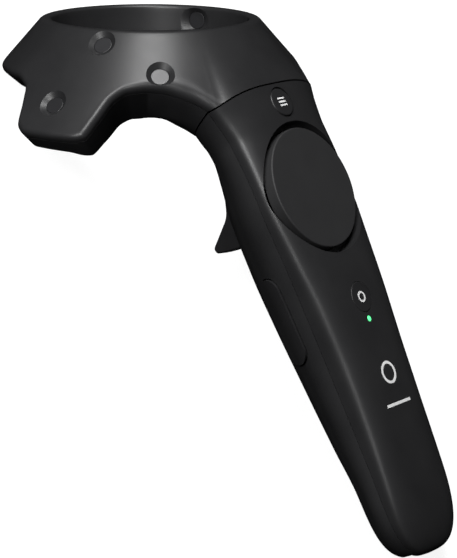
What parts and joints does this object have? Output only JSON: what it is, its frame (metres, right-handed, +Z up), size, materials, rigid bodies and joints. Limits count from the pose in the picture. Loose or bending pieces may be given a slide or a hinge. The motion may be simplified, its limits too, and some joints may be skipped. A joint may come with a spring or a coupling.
{
  "type": "vr motion controller",
  "caption": "Handheld virtual-reality motion controller with a cone-shaped sensor ring, clickable touchpad, face buttons, finger trigger and squeeze grips.",
  "frame": {"origin": "centre of the bounding box on the table the controller lies on, in metres", "axes": "Z up from the table; Y runs from the sensor ring to the handle's tail; X runs across, toward the user's left hand side"},
  "size_m": [0.123, 0.2188, 0.0649],
  "materials": {
    "shell": "satin black moulded plastic",
    "touch_face": "fine matte black touch surface",
    "button": "smooth black",
    "sensor_window": "dark infrared-clear window",
    "circuit_board": "green solder mask",
    "switch": "black moulded",
    "steel": "plain steel",
    "battery_foil": "silver foil pouch",
    "chassis": "dark grey moulded",
    "light_pipe": "lit green"
  },
  "bodies": {
    "casing": {"battery_cell": "battery_foil", "frame_screw_1": "steel", "frame_screw_2": "steel", "frame_screw_3": "steel", "frame_screw_4": "steel", "frame_screw_5": "steel", "frame_screw_6": "steel", "grip_switch_left": "switch", "grip_switch_right": "switch", "handle_front_cover": "shell", "handle_rear_cover": "shell", "haptic_motor": "steel", "head_flex_board": "circuit_board", "head_shell_lower": "shell", "head_shell_upper": "shell", "inner_frame": "chassis", "main_board": "circuit_board", "menu_switch": "switch", "radio_antenna": "circuit_board", "status_light_pipe": "light_pipe", "system_switch": "switch", "tracking_sensor_01": "sensor_window", "tracking_sensor_02": "sensor_window", "tracking_sensor_03": "sensor_window", "tracking_sensor_04": "sensor_window", "tracking_sensor_05": "sensor_window", "tracking_sensor_06": "sensor_window", "tracking_sensor_07": "sensor_window", "tracking_sensor_08": "sensor_window", "tracking_sensor_09": "sensor_window", "tracking_sensor_10": "sensor_window", "tracking_sensor_11": "sensor_window", "tracking_sensor_12": "sensor_window", "tracking_sensor_13": "sensor_window", "tracking_sensor_14": "sensor_window", "tracking_sensor_15": "sensor_window", "tracking_sensor_16": "sensor_window", "tracking_sensor_17": "sensor_window", "tracking_sensor_18": "sensor_window", "trackpad_switch": "switch", "trigger_bracket": "chassis", "trigger_pin": "steel", "trigger_sensor": "switch", "trigger_spring": "steel", "usb_board": "circuit_board", "usb_connector": "steel"},
    "trackpad": {"trackpad_disc": "touch_face", "trackpad_board": "circuit_board"},
    "menu_key": {"menu_button": "button"},
    "system_key": {"system_button": "button"},
    "trigger_lever": {"trigger": "button"},
    "left_grip": {"grip_button_left": "button"},
    "right_grip": {"grip_button_right": "button"}
  },
  "joints": [
    {"name": "trackpad_click", "type": "slide", "parent": "casing", "child": "trackpad", "axis": [0, 0.299, 0.9542], "range_m": [-0.0005, 0], "stiffness_N_per_m": 2000, "springref_m": 0.0005},
    {"name": "menu_click", "type": "slide", "parent": "casing", "child": "menu_key", "axis": [0, 0.1461, 0.9893], "range_m": [-0.0004, 0], "stiffness_N_per_m": 1200, "springref_m": 0.0005},
    {"name": "system_click", "type": "slide", "parent": "casing", "child": "system_key", "axis": [0, 0.3206, 0.9472], "range_m": [-0.0004, 0], "stiffness_N_per_m": 1200, "springref_m": 0.0005},
    {"name": "trigger_pull", "type": "hinge", "parent": "casing", "child": "trigger_lever", "pos_m": [0, -0.02297, 0.0364], "axis": [1, 0, 0], "range_deg": [0, 17], "stiffness_Nm_per_rad": 0.06, "springref_deg": -14.32, "deforming": ["trigger_spring"]},
    {"name": "left_grip_squeeze", "type": "slide", "parent": "casing", "child": "left_grip", "axis": [-1, 0, 0], "range_m": [0, 0.001], "stiffness_N_per_m": 2000, "springref_m": -0.0005},
    {"name": "right_grip_squeeze", "type": "slide", "parent": "casing", "child": "right_grip", "axis": [1, 0, 0], "range_m": [0, 0.001], "stiffness_N_per_m": 2000, "springref_m": -0.0005}
  ]
}
